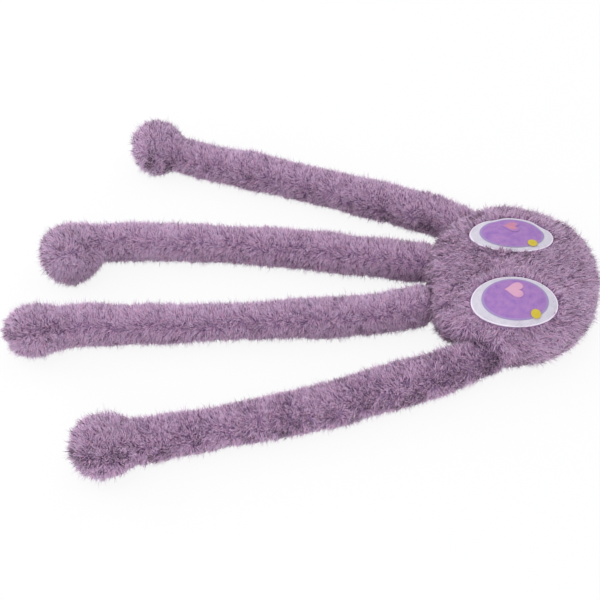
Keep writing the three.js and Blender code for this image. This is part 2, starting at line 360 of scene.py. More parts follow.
def plush_pile():
    """Brushed acrylic pile: painted shade darkens it between its roots, painted light makes it pale at its
    tips, and it is soft, lock by lock in shade.
    """
    material, tree, shader = start_material("brushed_acrylic_pile", 0.85, sheen=0.4, specular=0.2)
    uv = add_node(tree, "ShaderNodeUVMap", uv_map="OFBake")
    split = add_node(tree, "ShaderNodeSeparateXYZ", {"Vector": uv.outputs["UV"]})
    across, along = split.outputs["X"], split.outputs["Y"]
    # From root to tip: painted shade at the roots and painted light at the tips.
    depth = add_node(tree, "ShaderNodeValToRGB", {"Fac": along}, stops=(
        (0.0, "#a37fa4"), (0.35, "#d9b6d2"), (0.75, "#eacbe0"), (1.0, "#f9eff4")))
    shade = add_node(tree, "ShaderNodeValToRGB", {"Fac": across}, stops=(
        (0.0, "#7a6a83"), (0.25, "#b9aabf"), (0.5, "#e3dae4"), (0.8, "#f8f2f8"), (1.0, "#ffffff")))
    column = add_node(tree, "ShaderNodeMath", {0: across, 1: float(TONE_COLUMNS)}, operation="MULTIPLY")
    whole = add_node(tree, "ShaderNodeMath", {0: column.outputs[0]}, operation="FLOOR")
    lot = add_node(tree, "ShaderNodeTexWhiteNoise", {"W": whole.outputs[0]}, noise_dimensions="1D")
    hue = add_node(tree, "ShaderNodeValToRGB", {"Fac": lot.outputs["Value"]}, stops=(
        (0.0, "#e9eefc"), (0.5, "#fffafc"), (1.0, "#ffe9f6")))
    multiply = {"data_type": "RGBA", "blend_type": "MULTIPLY"}
    shaded = add_node(tree, "ShaderNodeMix", {
        "Factor": 1.0, 6: depth.outputs["Color"], 7: shade.outputs["Color"]}, **multiply)
    tinted = add_node(tree, "ShaderNodeMix", {
        "Factor": 1.0, 6: shaded.outputs[2], 7: hue.outputs["Color"]}, **multiply)
    tree.links.new(tinted.outputs[2], shader.inputs["Base Color"])
    shine = add_node(tree, "ShaderNodeMapRange", {"Value": along, "To Min": 0.95, "To Max": 0.75})
    tree.links.new(shine.outputs["Result"], shader.inputs["Roughness"])
    return material


def plush_backing():
    """Knitted backing under the pile: dark and matte, in small loops, seen only where the pile parts."""
    material, tree, shader = start_material("knitted_backing", 1.0, specular=0.1)
    uv = add_node(tree, "ShaderNodeUVMap", uv_map="knit_uv")
    loops = add_node(tree, "ShaderNodeTexVoronoi", {"Vector": uv.outputs["UV"], "Scale": 1 / KNIT_PITCH})
    colour = add_node(tree, "ShaderNodeValToRGB", {"Fac": loops.outputs["Distance"]}, stops=(
        (0.0, "#a386a9"), (1.0, "#80638a")))
    tree.links.new(colour.outputs["Color"], shader.inputs["Base Color"])
    bump = add_node(tree, "ShaderNodeBump", {
        "Height": loops.outputs["Distance"], "Distance": KNIT_DEPTH, "Strength": 0.6})
    tree.links.new(bump.outputs["Normal"], shader.inputs["Normal"])
    return material


def pressed_fibres(tree, shader, base, edge, start, fibre=0.5, bump=0.12):
    """Short fibres pressed flat: fine mottling in the base colours, turning to edge from start outwards."""
    place = add_node(tree, "ShaderNodeTexCoord").outputs["Object"]
    fine = add_node(tree, "ShaderNodeTexNoise", {
        "Vector": place, "Scale": 1 / FELT_TANGLE, "Detail": 3.0, "Roughness": 0.6})
    broad = add_node(tree, "ShaderNodeTexNoise", {"Vector": place, "Scale": 1 / FELT_PATCH, "Detail": 2.0})
    uv = add_node(tree, "ShaderNodeUVMap", uv_map="patch_uv")
    out = add_node(tree, "ShaderNodeSeparateXYZ", {"Vector": uv.outputs["UV"]}).outputs["Y"]
    mottle = add_node(tree, "ShaderNodeMix", {
        "Factor": fibre, "A": broad.outputs["Fac"], "B": fine.outputs["Fac"]})
    colour = add_node(tree, "ShaderNodeValToRGB", {"Fac": mottle.outputs["Result"]}, stops=base)
    rim = add_node(tree, "ShaderNodeMapRange", {"Value": out, "From Min": start, "From Max": (start + 1) / 2})
    mixed = add_node(tree, "ShaderNodeMix", {
        "Factor": rim.outputs["Result"], 6: colour.outputs["Color"], 7: linear(edge)}, data_type="RGBA")
    tree.links.new(mixed.outputs[2], shader.inputs["Base Color"])
    height = add_node(tree, "ShaderNodeBump", {
        "Height": fine.outputs["Fac"], "Distance": FELT_HEIGHT, "Strength": bump})
    tree.links.new(height.outputs["Normal"], shader.inputs["Normal"])


def white_felt():
    """Needle felt, cut with a hot die: faintly mottled lavender white, with a clean cut edge that a painted
    highlight makes brighter.
    """
    material, tree, shader = start_material("white_needle_felt", 0.85, sheen=0.2)
    base = ((0.3, "#beb9c5"), (0.5, "#ccc7d2"), (0.7, "#d7d1da"))
    # The brighter rim is a painted highlight on the cut edge.
    pressed_fibres(tree, shader, base, "#f2eaf6", 0.962, bump=0.3)
    return material


def iris_print():
    """Transfer print on felt: violet with paler, pinker worn places and a soft greyer rim."""
    material, tree, shader = start_material("violet_transfer_print", 0.7)
    base = ((0.32, "#8c65ac"), (0.5, "#9d74b3"), (0.68, "#ab7eb4"))
    pressed_fibres(tree, shader, base, "#9b88b6", 0.91, fibre=0.4)
    return material


def heart_print():
    """Transfer print on felt: rose pink, soft at its edge."""
    material, tree, shader = start_material("pink_transfer_print", 0.7)
    pressed_fibres(tree, shader, ((0.3, "#cb94b4"), (0.7, "#d4a4bb")), "#be8cba", 0.86)
    return material


def worn_heart_print():
    """The same print, rubbed until the violet under it shows through and its edge is lost."""
    material, tree, shader = start_material("worn_pink_transfer_print", 0.7)
    pressed_fibres(tree, shader, ((0.3, "#b5769c"), (0.5, "#c18099"), (0.7, "#cb8a9a")), "#a177b3", 0.6)
    return material


def glint_print():
    """Transfer print on felt: mustard yellow."""
    material, tree, shader = start_material("yellow_transfer_print", 0.7)
    pressed_fibres(tree, shader, ((0.3, "#c3ac2f"), (0.7, "#cfbc42")), "#bdac5e", 0.85)
    return material


MATERIALS = {
    "pile": plush_pile(), "backing": plush_backing(), "white": white_felt(), "iris": iris_print(),
    "heart": heart_print(), "worn_heart": worn_heart_print(), "glint": glint_print(),
}


def unit(vectors):
    return vectors / np.maximum(np.linalg.norm(vectors, axis=-1, keepdims=True), 1e-12)


def random_ways(count):
    """Random directions."""
    return unit(rng.normal(size=(count, 3)))


def eased(x):
    """A smooth step from 0 to 1."""
    x = np.clip(x, 0, 1)
    return x * x * (3 - 2 * x)


def bump_at(x, middle, width):
    """1 at the middle, falling smoothly to 0 on both sides."""
    return np.exp(-(((x - middle) / width) ** 2))


class Waves:
    """Smooth noise, mostly from -1 to 1: a sum of sine waves of about the given length, in any direction."""

    LENGTH_SHARES = (0.7, 1.4)
    PEAK = 1.5

    def __init__(self, length, count=16):
        way = random_ways(count)
        self.k = way * 2 * math.pi / (length * rng.uniform(*self.LENGTH_SHARES, (count, 1)))
        self.phase = rng.uniform(0, 2 * math.pi, count)
        self.scale = math.sqrt(2 / count) / self.PEAK

    def __call__(self, points):
        return np.sin(points @ self.k.T + self.phase).sum(-1) * self.scale


def wave_ways(length, count=16):
    """A smooth field of directions."""
    parts = [Waves(length, count) for _ in range(3)]
    return lambda points: np.stack([p(points) for p in parts], -1)


WARP = wave_ways(14 * MM)
SWIRL = wave_ways(12 * MM, 24)
DRIFT = wave_ways(30 * MM)
MOTTLE = Waves(55 * MM)
PATCHY = Waves(20 * MM)
SPECKLE = Waves(6 * MM, 24)
BULGE = Waves(60 * MM)


def make_mesh(name, points, faces, material, uv_name=None, uv=None, normals=None):
    """A mesh object from arrays: faces and uv are lists of arrays, one for each count of corners."""
    mesh = bpy.data.meshes.new(name)
    mesh.vertices.add(len(points))
    mesh.vertices.foreach_set("co", np.asarray(points, np.float32).ravel())
    loops = np.concatenate([f.ravel() for f in faces]).astype(np.int32)
    totals = np.concatenate([np.full(len(f), f.shape[1]) for f in faces]).astype(np.int32)
    mesh.loops.add(len(loops))
    mesh.loops.foreach_set("vertex_index", loops)
    mesh.polygons.add(len(totals))
    mesh.polygons.foreach_set("loop_start", (np.cumsum(totals) - totals).astype(np.int32))
    mesh.polygons.foreach_set("loop_total", totals)
    mesh.polygons.foreach_set("use_smooth", np.ones(len(totals), bool))
    if uv is not None:
        layer = mesh.uv_layers.new(name=uv_name)
        layer.data.foreach_set("uv", np.concatenate([u.reshape(-1) for u in uv]).astype(np.float32))
    mesh.update(calc_edges=True)
    if normals is not None:
        mesh.normals_split_custom_set_from_vertices(np.asarray(normals, np.float32))
    mesh.materials.append(MATERIALS[material])
    piece = bpy.data.objects.new(name, mesh)
    bpy.context.scene.collection.objects.link(piece)
    return piece


def grid_faces(rings, around):
    """Quads of a grid of rings that closes around, and the ring and place of each corner for its UVs."""
    i, j = np.meshgrid(np.arange(rings - 1), np.arange(around), indexing="ij")
    corners = ((0, 0), (0, 1), (1, 1), (1, 0))
    quads = np.stack([(i + a) * around + (j + b) % around for a, b in corners], -1).reshape(-1, 4)
    places = np.stack([np.stack([j + b, i + a], -1) for a, b in corners], 2).reshape(-1, 4, 2)
    return quads, places.astype(float)


def grid_normals(points):
    """Normals of a grid of points [ring, around, 3] that closes around."""
    along = np.gradient(points, axis=0)
    around = np.roll(points, -1, 1) - np.roll(points, 1, 1)
    return unit(np.cross(along, around))


def stuffed(name, grid, cap):
    """A skin pushed out by its stuffing: a short cloth simulation under pressure, no point moved past cap."""
    start = grid.reshape(-1, 3)
    quads, _ = grid_faces(*grid.shape[:2])
    a, b, c = (start[quads[:, k]] for k in range(3))
    if np.sum(a * np.cross(b, c)) < 0:
        quads = quads[:, ::-1]
    skin = make_mesh(name, start, [quads], "backing")
    cloth = skin.modifiers.new("stuffing", "CLOTH")
    cloth.settings.use_pressure = True
    cloth.settings.uniform_pressure_force = STUFFING_PRESSURE
    cloth.settings.effector_weights.gravity = 0
    cloth.settings.tension_stiffness = SKIN_STIFFNESS
    cloth.settings.compression_stiffness = SKIN_STIFFNESS
    cloth.point_cache.frame_start = 1
    cloth.point_cache.frame_end = STUFFING_FRAMES
    scene = bpy.context.scene
    for frame_number in range(1, STUFFING_FRAMES + 1):
        scene.frame_set(frame_number)
    settled = skin.evaluated_get(bpy.context.evaluated_depsgraph_get()).to_mesh()
    moved = np.empty(len(start) * 3, np.float32)
    settled.vertices.foreach_get("co", moved)
    scene.frame_set(1)
    mesh = skin.data
    bpy.data.objects.remove(skin)
    bpy.data.meshes.remove(mesh)
    step = moved.reshape(-1, 3) - start
    far = np.linalg.norm(step, axis=1, keepdims=True)
    step = step * np.minimum(1, cap / np.maximum(far, 1e-9))
    return (start + step).reshape(grid.shape)


def scatter(points, fields, density, first, last):
    """Random places on the rings first to last of a grid, by area and density, and each field there."""
    wrapped = [np.concatenate([g, g[:, :1]], 1)[first : last + 1] for g in (points, density, *fields)]
    p, d = wrapped[:2]
    down = np.linalg.norm(p[1:, :-1] - p[:-1, :-1], axis=-1)
    near = np.linalg.norm(p[:-1, 1:] - p[:-1, :-1], axis=-1)
    far = np.linalg.norm(p[1:, 1:] - p[1:, :-1], axis=-1)
    share = down * (near + far) / 2 * d[:-1, :-1]
    count = int(share.sum())
    cell = rng.choice(share.size, size=count, p=share.ravel() / share.sum())
    i, j = np.unravel_index(cell, share.shape)
    a, b = rng.random(count), rng.random(count)

    def at(g):
        weights = ((1 - a) * (1 - b), a * (1 - b), (1 - a) * b, a * b)
        corners = (g[i, j], g[i + 1, j], g[i, j + 1], g[i + 1, j + 1])
        spread = (slice(None),) + (None,) * (g.ndim - 2)
        return sum(w[spread] * c for w, c in zip(weights, corners))

    return [at(p)] + [at(g) for g in wrapped[2:]]


def tufts(places):
    """Groups places into tufts: each place's tuft, and the tufts' middles."""
    cell = np.floor((places + WARP(places) * TUFT_SIZE * TUFT_WARP) / TUFT_SIZE).astype(np.int64)
    key = (cell[:, 0] * TUFT_KEYS[0]) ^ (cell[:, 1] * TUFT_KEYS[1]) ^ (cell[:, 2] * TUFT_KEYS[2])
    _, which = np.unique(key, return_inverse=True)
    count = np.bincount(which)
    middle = np.stack([np.bincount(which, places[:, k]) / count for k in range(3)], -1)
    return which, middle


def strand_lines(places, normals, comb, lean, length, which, middle, wispy):
    """The middle line of each strand from its root to its tip, and the straight way to its tip."""
    count, groups = len(places), len(middle)
    reach = length * rng.uniform(*TUFT_LENGTHS, groups)[which] * rng.uniform(*STRAND_LENGTHS, count)
    reach = reach * np.where(wispy, rng.uniform(*WISP_REACH, count), 1.0)
    tip = normals * np.cos(lean)[:, None] + comb * np.sin(lean)[:, None]
    tip += TUFT_SCATTER * random_ways(groups)[which] + STRAND_SCATTER * random_ways(count)
    tip = tip * reach[:, None] + TUFT_GATHER * (middle[which] - places)
    root = places - normals * ROOT_DEPTH
    levels = np.array(STRAND_LEVELS)[None, :, None]
    curl = random_ways(groups)[which] + random_ways(count)
    kink = (CURL_OUT * normals + CURL_ASIDE * curl) * reach[:, None]
    line = root[:, None] + levels * tip[:, None] + levels * (1 - levels) * kink[:, None]
    low = PILE_FLOOR + PRESSED_DEPTH * rng.random((count, 1)) ** 2
    line[..., 2] = np.maximum(line[..., 2], low)
    return line, tip


def ribbon_sides(line, tip, normals):
    """Which way each strand's ribbon lies across its line, and the normals that shade it."""
    way = unit(line[:, 1:] - line[:, :-1])
    way = np.concatenate([way, way[:, -1:]], 1)
    twist = rng.uniform(-STRAND_TWIST, STRAND_TWIST, len(line))[:, None]
    side = unit(unit(np.cross(tip, normals) + 1e-9) * np.cos(twist) + normals * np.sin(twist))[:, None]
    side = unit(side - way * np.sum(side * way, -1, keepdims=True))
    facing = np.sum(np.cross(side, way)[:, :1] * normals[:, None], -1, keepdims=True)
    side = side * np.where(facing < 0, -1.0, 1.0)
    shading = unit(SKIN_SHARE * normals[:, None] + (1 - SKIN_SHARE) * np.cross(side, way))
    return side, shading


def ribbon_points(line, side, shading, wispy):
    """Both edges of each ribbon along its line and its pointed tip, and the normal at each point."""
    count = len(line)
    width = STRAND_WIDTH * rng.uniform(*STRAND_WIDTHS, count) * np.where(wispy, WISP_WIDTH, 1.0)
    half = side * width[:, None, None] * np.array(STRAND_TAPER)[None, :, None] / 2
    pairs = np.stack([line - half, line + half], 2)[:, :-1].reshape(count, -1, 3)
    points = np.concatenate([pairs, line[:, -1:]], 1)
    points[..., 2] = np.clip(points[..., 2], PILE_FLOOR, PILE_CEILING)
    shading = np.concatenate([np.repeat(shading[:, :-1], 2, axis=1), shading[:, -1:]], 1)
    return points.reshape(-1, 3), shading.reshape(-1, 3)


def strand_columns(shade, which, groups, wispy):
    """Each strand's column in the shade ramp: by its place's shade, its tuft and itself."""
    tone = TONE_MIDDLE + TONE_PER_SHADE * shade
    tone = tone + rng.normal(0, TUFT_TONES, groups)[which] + rng.normal(0, STRAND_TONES, len(shade))
    # Fine fibres are paler: a painted highlight on them.
    tone = np.clip(tone + WISP_PAINTED_HIGHLIGHT * wispy, *TONE_LIMITS)
    return np.floor(tone * TONE_COLUMNS)


def ribbon_faces(column):
    """Each ribbon's quads and end triangle, and their UVs: across its column, and from root to tip."""
    left, right = ((column + share) / TONE_COLUMNS for share in COLUMN_EDGES)
    last = len(STRAND_LEVELS) - 1
    base = np.arange(len(column))[:, None] * (2 * last + 1)
    faces, uv = [], []
    for k in range(last):
        turn = (0, 1, 3, 2) if k < last - 1 else (0, 1, 2)
        faces.append(base + 2 * k + np.array(turn))
        low, high = (np.full(len(column), STRAND_LEVELS[level] * TIP_V) for level in (k, k + 1))
        corners = [(left, low), (right, low), (right, high), (left, high)]
        if k == last - 1:
            corners[2:] = [((left + right) / 2, high)]
        uv.append(np.stack([np.stack(c, -1) for c in corners], 1))
    return faces, uv


def grow_pile(name, places, normals, comb, lean, length, shade):
    """Grows a strand at each place: a thin ribbon that leans along comb, in tufts that share a lean."""
    which, middle = tufts(places)
    comb = unit(comb - normals * np.sum(comb * normals, -1, keepdims=True))
    # Lone fine fibres give the toy its soft outline.
    wispy = rng.random(len(places)) < WISP_SHARE
    lean = lean - np.radians(WISP_RISE) * wispy
    line, tip = strand_lines(places, normals, comb, lean, length, which, middle, wispy)
    side, shading = ribbon_sides(line, tip, normals)
    points, shading = ribbon_points(line, side, shading, wispy)
    faces, uv = ribbon_faces(strand_columns(shade, which, len(middle), wispy))
    piece = make_mesh(name, points, faces, "pile", "OFBake", uv, shading)
    return piece


def strand_density(below, missing, start):
    """Strands per square metre: fewer where below, the share that faces down, is past start."""
    return STRANDS_PER_M2 * (1 - missing * eased((below - start) / THINNING_FADE))


def mottled(places):
    """Uneven shade in broad, middling and fine patches."""
    broad, middling, fine = MOTTLING
    return broad * MOTTLE(places) + middling * PATCHY(places) + fine * SPECKLE(places)


JOINTS = {j["name"]: j for j in frame["joints"]}
FACE_LOW, FACE_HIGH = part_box("head_face_panel")
HEAD_HALF_LENGTH = (FACE_HIGH[0] - FACE_LOW[0]) / 2
HEAD_HALF_WIDTH = (FACE_HIGH[1] - FACE_LOW[1]) / 2
SEAM_HEIGHT = FACE_LOW[2]
CROWN_RISE = FACE_HIGH[2] - FACE_LOW[2]


def head_share(x, y):
    """How far out a place on the plan is, from 0 at the middle of the head to 1 at its edge."""
    return np.hypot(x / HEAD_HALF_LENGTH, y / HEAD_HALF_WIDTH)


def face_height(x, y):
    """The height of the head's face at a place on the plan."""
    out = np.minimum(head_share(x, y), 1)
    return SEAM_HEIGHT + CROWN_RISE * (1 - out**CROWN_FULLNESS) ** (1 / CROWN_FULLNESS)


def back_height(x, y):
    """The height of the head's underside at a place on the plan."""
    out = np.minimum(head_share(x, y), 1)
    return SEAM_HEIGHT - SEAM_HEIGHT * (1 - out**UNDERSIDE_FULLNESS) ** (1 / UNDERSIDE_FULLNESS)


def head_skin():
    """The head's skin as a grid of rings, from the middle of the face round to the middle of the back."""
    turn = np.linspace(0, math.pi / 2, HEAD_RINGS // 2 + 1)
    crown_out, crown_up = np.sin(turn) ** (2 / CROWN_FULLNESS), np.cos(turn) ** (2 / CROWN_FULLNESS)
    under_out, under_up = np.sin(turn) ** (2 / UNDERSIDE_FULLNESS), np.cos(turn) ** (2 / UNDERSIDE_FULLNESS)
    out = np.concatenate([crown_out, under_out[::-1][1:]])
    out[0] = out[-1] = MIDDLE_SHARE
    z = np.concatenate([CROWN_RISE * crown_up, -SEAM_HEIGHT * under_up[::-1][1:]]) + SEAM_HEIGHT
    z = np.where(z > SEAM_HEIGHT, z - HEAD_INSET, z)
    around = np.arange(HEAD_AROUND) / HEAD_AROUND * 2 * math.pi
    rim = eased((out - RIM_START) / RIM_WIDTH)[:, None]
    push = np.zeros(HEAD_AROUND)
    for angle, depth, width in LIPS:
        push += depth * bump_at(np.degrees(around), angle, width)
    x = ((HEAD_HALF_LENGTH - HEAD_INSET) * out[:, None] + push * rim) * np.cos(around)
    y = ((HEAD_HALF_WIDTH - HEAD_INSET) * out[:, None] + push * rim) * np.sin(around)
    place, width = (share * HEAD_HALF_LENGTH for share in WAIST_SHARES)
    y = y * (1 - HEAD_SLIM * rim * bump_at(x, place, width))
    y = y + HEAD_LEAN * rim * np.clip(x / HEAD_HALF_LENGTH, 0, 1) ** 2
    grid = np.stack([x, y, np.broadcast_to(z[:, None], x.shape)], -1)
    grid[..., 2] = np.maximum(grid[..., 2], FLAT_BOTTOM)
    return grid


def eye_boxes():
    """Each white patch's middle and half sizes on the plan."""
    boxes = []
    for side in ("right", "left"):
        low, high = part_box(f"{side}_eye_white_patch")
        middle = [(low[k] + high[k]) / 2 for k in (0, 1)]
        half = [(high[k] - low[k]) / 2 for k in (0, 1)]
        boxes.append((*middle, *half))
    return boxes


def arm_creases(places):
    """How near places on the head are to where an arm's tube leaves it, from 0 to 1."""
    near = np.zeros(len(places))
    for arm in ARMS:
        root, lift = (np.array(JOINTS[f"{arm}_{k}"]["pos_m"]) for k in ("swing", "lift"))
        out = unit(lift - root)
        offset = places - root
        along = offset @ out
        apart = np.linalg.norm(offset - along[:, None] * out, axis=-1)
        past = eased((along + CREASE_START) / CREASE_FADE)
        near = np.maximum(near, bump_at(apart, CREASE_RADIUS, CREASE_WIDTH) * past)
    return near


def near_line(places, line, width):
    """How near places are to a line of points, from 0 to 1."""
    apart = np.full(len(places), np.inf)
    for a, b in zip(line, line[1:]):
        a, b = np.array(a) * MM, np.array(b) * MM
        along = np.clip((places - a) @ (b - a) / ((b - a) @ (b - a)), 0, 1)
        apart = np.minimum(apart, np.linalg.norm(places - a - along[:, None] * (b - a), axis=-1))
    return bump_at(apart, 0, width)


def head_comb(places, face):
    """Which way the head's pile is brushed at each place, how far it leans, and where it is bare."""
    x, y = places[:, 0], places[:, 1]
    flat = np.zeros(len(x))
    top = eased((x + BRUSH_LINE) / BRUSH_FADE)[:, None]
    comb = top * np.array(TOP_BRUSH) + (1 - top) * np.array(ARMS_BRUSH)
    comb += OUTWARD_BRUSH * np.stack([x / HEAD_HALF_LENGTH, y / HEAD_HALF_WIDTH, flat], -1)
    comb += HEAD_DRIFT * DRIFT(places) + HEAD_SWIRL * SWIRL(places)
    far = bump_at(head_share(x, y), *FAR_RIM) * eased(y / FAR_RIM_FADE)
    lean = np.radians(HEAD_PILE_LEAN + HEAD_LEAN_CHANGE * MOTTLE(places) - FAR_RIM_RISE * far)
    bare = np.zeros(len(x), bool)
    for k, (cx, cy, hx, hy) in enumerate(eye_boxes()):
        away = np.hypot((x - cx) / hx, (y - cy) / hy)
        radial = np.stack([(x - cx) / hx, (y - cy) / hy, flat], -1)
        rim = eased((EYE_BRUSH_END - away) / EYE_BRUSH_FADE)[:, None]
        comb = comb * (1 - rim) + EYE_BRUSH * rim * radial
        if face:
            bare |= away < EYE_BARE
        if k == 0:
            over = bump_at(away, *BROW_RIM) * eased((cy - y) / (BROW_REACH * hy))
            over = over * bump_at(x, cx - BROW_PLACE, BROW_WIDTH)
            comb -= BROW_BRUSH * over[:, None] * radial
            lean -= np.radians(BROW_RISE) * over
    return comb, lean, bare


def head_shade(places, crease, folded):
    """How light or dark the head's pile is at each place, with painted shade in the arms' creases and the
    fold.
    """
    top = TOP_SHADE * eased((places[:, 0] - TOP_START) / TOP_FADE)
    return mottled(places) + (top - CREASE_SHADE * crease - HEAD_FOLD_SHADE * folded)


def add_head():
    grid = stuffed("head_stuffing", head_skin(), STUFFING_CAP)
    grid[..., 2] = np.maximum(grid[..., 2], FLAT_BOTTOM)
    normals = grid_normals(grid)
    if normals[0, 0, 2] < 0:
        normals = -normals
    quads, places = grid_faces(len(grid), HEAD_AROUND)
    uv = places * HEAD_LOOP_STEPS
    skin = make_mesh("head_skin", grid.reshape(-1, 3), [quads], "backing", "knit_uv", [uv])
    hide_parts("head_face_panel", "head_back_panel", "head_filling")
    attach(skin, "head")
    below = np.clip(-normals[..., 2], 0, 1)
    density = strand_density(below, *HEAD_THINNING)
    seam = HEAD_RINGS // 2
    for name, first, last in (("head_face_pile", 0, seam), ("head_back_pile", seam, len(grid) - 1)):
        places, outward = scatter(grid, [normals], density, first, last)
        comb, lean, bare = head_comb(places, name == "head_face_pile")
        crease = arm_creases(places)
        even, broken = HEAD_FOLD_BREAKS
        folded = near_line(places, FOLD, HEAD_FOLD_WIDTH)
        folded = folded * (even + broken * np.clip(2 * SPECKLE(places), -1, 1))
        shade = head_shade(places, crease, folded)
        length = HEAD_PILE * (1 - CREASE_LENGTH * crease) * (1 - FOLD_LENGTH * folded)
        grown = [g[~bare] for g in (places, unit(outward), comb, lean, length, shade)]
        pile = grow_pile(name, *grown)
        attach(pile, "head")


def smooth_path(points, step):
    """A smooth curve through points: even steps along it, how far along each is, and how far each point."""
    padded = np.concatenate([2 * points[:1] - points[1:2], points, 2 * points[-1:] - points[-2:-1]])
    dense, marks = [], [0]
    for a, b, c, d in zip(padded, padded[1:], padded[2:], padded[3:]):
        t = np.linspace(0, 1, PATH_STEPS)[:-1, None]
        chord = np.linalg.norm(c - b)
        leave = (c - a) / (chord + np.linalg.norm(b - a)) * chord
        arrive = (d - b) / (np.linalg.norm(d - c) + chord) * chord
        rise = 3 * t**2 - 2 * t**3
        dense.append((1 - rise) * b + rise * c + (t**3 - 2 * t**2 + t) * leave + (t**3 - t**2) * arrive)
        marks.append(marks[-1] + len(t))
    dense = np.concatenate([*dense, points[-1:]])
    length = np.concatenate([[0], np.cumsum(np.linalg.norm(np.diff(dense, axis=0), axis=1))])
    steps = np.linspace(0, length[-1], int(round(length[-1] / step)) + 1)
    places = np.stack([np.interp(steps, length, dense[:, k]) for k in range(3)], -1)
    return places, steps, length[marks]


def paw_route(flop):
    """The middle and the tip of a paw past its hinge."""
    axis = np.array(flop["axis"])
    level = np.array([axis[1], -axis[0], 0.0])
    tilt = math.asin((PAW_RADIUS - ARM_AXIS_HEIGHT) / PAW_REACH)
    way = level * math.cos(tilt) + np.array([0, 0, math.sin(tilt)])
    hinge = np.array(flop["pos_m"])
    return hinge + way * PAW_REACH, hinge + way * (PAW_REACH + PAW_TIP_LENGTH)


class ArmSkin:
    """One arm's skin as a grid of rings, from inside the head to the tip of its paw."""

    def __init__(self, arm):
        looks = ARM_LOOKS[arm]
        self.parting = looks["parting"]
        hinges = [JOINTS[f"{arm}_{k}"] for k in ("swing", "lift", "bend", "paw_flop")]
        self.knots = [np.array(h["pos_m"]) for h in hinges]
        middle, tip = paw_route(hinges[3])
        first = self.knots[0] - unit(self.knots[1] - self.knots[0]) * looks["inside"]
        route = np.array([first, *self.knots, middle, tip])
        self.axis, self.steps, self.marks = smooth_path(route, RING_STEP)
        marks, steps = self.marks, self.steps
        self.swell = eased((steps - marks[5] + PAW_SWELL_START) / PAW_SWELL_LENGTH)
        self.end = np.clip((steps - marks[5]) / (marks[6] - marks[5]), 0, 1)
        radius = self.radii(looks)
        self.ahead = unit(np.gradient(self.axis, axis=0))
        self.across = unit(np.cross((0, 0, 1.0), self.ahead))
        up = np.cross(self.ahead, self.across)
        # Turn 0 is the arm's top, and a quarter turn is the side that faces the photograph.
        self.turn = np.arange(ARM_AROUND) / ARM_AROUND * 2 * math.pi
        cos, sin = np.cos(self.turn)[None, :, None], np.sin(self.turn)[None, :, None]
        self.spoke = up[:, None] * cos + self.across[:, None] * sin
        grid = self.axis[:, None] + self.spoke * radius[:, None, None]
        lumps = ARM_LUMPS * BULGE(grid)[..., None] * radius[:, None, None]
        self.grid = stuffed(f"{arm}_stuffing", grid + self.spoke * lumps, STUFFING_CAP)
        self.grid[..., 2] = np.maximum(self.grid[..., 2], FLAT_BOTTOM)
        end = np.minimum(self.end, END_TILT)[:, None, None]
        self.normals = unit(self.spoke * np.sqrt(1 - end**2) + self.ahead[:, None] * end)

    def radii(self, looks):
        """How thick the arm is at each ring, with its paw and its two round ends."""
        marks, steps = self.marks, self.steps
        stops = [marks[1], (marks[2] + marks[3]) / 2, marks[3], (marks[3] + marks[4]) / 2, marks[4]]
        girth = np.interp(steps, stops, looks["girths"])
        kernel = np.hanning(GIRTH_BLUR)
        girth = np.convolve(np.pad(girth, GIRTH_BLUR // 2, "edge"), kernel / kernel.sum(), "valid")
        radius = ARM_SKIN_RADIUS * girth
        off = np.minimum(steps - marks[5], 0)
        ball = PAW_SKIN_RADIUS * looks["paw"]
        swollen = ball * np.sqrt(np.maximum(1 - (off / looks["flank"]) ** 2, 0))
        radius = (radius**NECK_SHARPNESS + swollen**NECK_SHARPNESS) ** (1 / NECK_SHARPNESS)
        begin = np.clip(1 - steps / looks["rounded"], 0, 1)
        return np.maximum(radius * np.sqrt(1 - self.end**2) * np.sqrt(1 - begin**2), END_RADIUS)

    def spread(self, values):
        """A number for each ring, or one for each place around, as a field over the whole grid."""
        values = values[:, None] if len(values) == len(self.steps) else values[None, :]
        return np.broadcast_to(values, self.grid.shape[:2]).copy()


def arm_comb(skin, places, outward, ahead, top, side, swell):
    """Which way an arm's pile is brushed, how far it leans, and the line where it parts, which gets painted
    shade.
    """
    turn = np.arctan2(side, top)
    spin = unit(np.cross(outward, ahead))
    middle, sharpness, depth = skin.parting
    off = turn - math.radians(middle) - PARTING_WANDER * PATCHY(places)
    along = ALONG_BRUSH - PAW_ALONG_LOSS * swell[:, None]
    comb = ARM_SWIRL * SWIRL(places) + ARM_DRIFT * DRIFT(places) + along * ahead
    comb += PARTING_BRUSH * spin * np.tanh(off * sharpness)[:, None]
    even, broken = PARTING_BREAKS
    kept = even + broken * np.clip(SPECKLE(places) + MOTTLE(places), -1, 1)
    parted = depth * bump_at(off, 0, PARTING_WIDTH) * (1 - swell) * kept
    side_turn, side_width = FAR_SIDE
    far = bump_at(turn, math.radians(side_turn), side_width)
    lean = ARM_PILE_LEAN + ARM_LEAN_CHANGE * MOTTLE(places) - PAW_RISE * swell
    lean = np.radians(lean + PARTING_FALL * parted - FAR_SIDE_RISE * far)
    return comb, lean, parted


def in_head(places, margin):
    """Which places lie inside the head's stuffing, deeper than margin."""
    x, y, z = places.T
    inside = head_share(x, y) < 1 - margin / HEAD_HALF_LENGTH
    return inside & (z < face_height(x, y) - margin) & (z > back_height(x, y))


def arm_shade(arm, places, top, swell, parted, far_along):
    """How light or dark an arm's pile is at each place, with painted light and painted shade."""
    joined = bump_at(head_share(places[:, 0], places[:, 1]), 1.0, JOIN_WIDTH)
    at_root, at_paw = ARM_LOOKS[arm]["shades"]
    shade = mottled(places)
    shade += far_along * at_paw + (1 - far_along) * at_root
    # Painted light on the arm's top and its paw, and painted shade at its parting and where it joins the
    # head.
    shade += ARM_TOP_PAINTED_LIGHT * top + PAW_PAINTED_LIGHT * swell - PARTING_SHADE * parted - JOIN_SHADE * joined
    # Painted shade in the fold.
    return shade - ARM_FOLD_SHADE * near_line(places, FOLD, ARM_FOLD_WIDTH)


